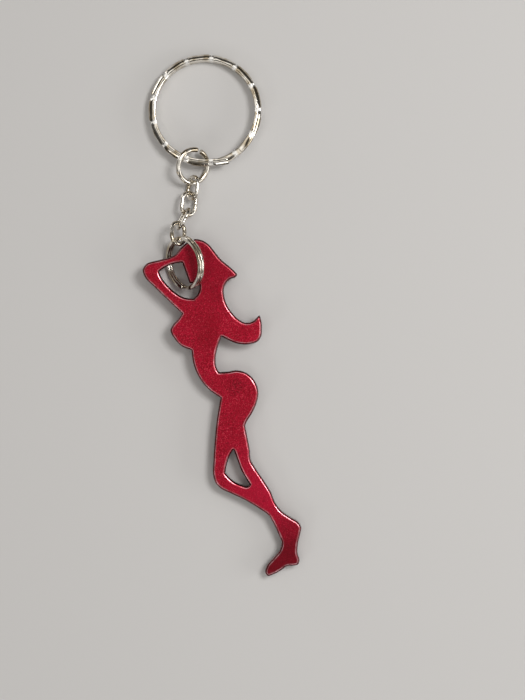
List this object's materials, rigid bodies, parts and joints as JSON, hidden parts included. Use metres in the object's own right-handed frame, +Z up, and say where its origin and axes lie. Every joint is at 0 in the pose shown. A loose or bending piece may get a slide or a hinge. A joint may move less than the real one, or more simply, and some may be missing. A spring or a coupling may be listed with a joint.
{
  "type": "keychain bottle opener",
  "caption": "Flat cut-out figure in red anodised metal whose back holds a crown-cap notch, on a short chain of small rings and oval links to a split key ring.",
  "frame": {"origin": "on the surface it lies on, under the middle of the bounding box", "axes": "+Z up out of the surface, +Y from the figure's toe to the key ring, +X towards the cap notch's mouth"},
  "size_m": [0.035, 0.1156, 0.01],
  "materials": {
    "red_anodised": "deep red anodised aluminium, satin face, bright rounded edges",
    "nickel": "bright nickel plate on steel wire, warm grey"
  },
  "bodies": {
    "bottle_opener": {"bottle_opener": "red_anodised"},
    "opener_ring": {"opener_ring": "nickel"},
    "chain_link_4": {"chain_link_4": "nickel"},
    "chain_link_3": {"chain_link_3": "nickel"},
    "chain_link_2": {"chain_link_2": "nickel"},
    "chain_link_1": {"chain_link_1": "nickel"},
    "jump_ring": {"jump_ring": "nickel"},
    "key_ring": {"key_ring": "nickel"}
  },
  "joints": [
    {"name": "ring_tilt", "type": "hinge", "parent": "bottle_opener", "child": "opener_ring", "pos_m": [-0.00816, 0.01415, 0.00375], "axis": [0.3907, -0.9205, 0], "range_deg": [0, 85]},
    {"name": "link_4_swing", "type": "hinge", "parent": "opener_ring", "child": "chain_link_4", "pos_m": [-0.00961, 0.01677, 0.00481], "axis": [-0.6159, -0.187, -0.7653], "range_deg": [-60, 20]},
    {"name": "link_3_swing", "type": "hinge", "parent": "chain_link_4", "child": "chain_link_3", "pos_m": [-0.00941, 0.02025, 0.00375], "axis": [-0.7606, 0.3173, 0.5664], "range_deg": [-75, 60]},
    {"name": "link_2_swing", "type": "hinge", "parent": "chain_link_3", "child": "chain_link_2", "pos_m": [-0.00776, 0.02328, 0.00201], "axis": [-0.4542, -0.3054, -0.8369], "range_deg": [-75, 75]},
    {"name": "link_1_swing", "type": "hinge", "parent": "chain_link_2", "child": "chain_link_1", "pos_m": [-0.00636, 0.02665, 0.00147], "axis": [-0.6315, 0.6685, 0.3929], "range_deg": [-75, 55]},
    {"name": "jump_ring_swing", "type": "hinge", "parent": "chain_link_1", "child": "jump_ring", "pos_m": [-0.00633, 0.03063, 0.00185], "axis": [0.6153, -0.0301, 0.7877], "range_deg": [-90, 45]},
    {"name": "key_ring_swing", "type": "hinge", "parent": "jump_ring", "child": "key_ring", "pos_m": [-0.00394, 0.03536, 0.00168], "axis": [0.4897, -0.7201, -0.4916], "range_deg": [0, 90]}
  ]
}
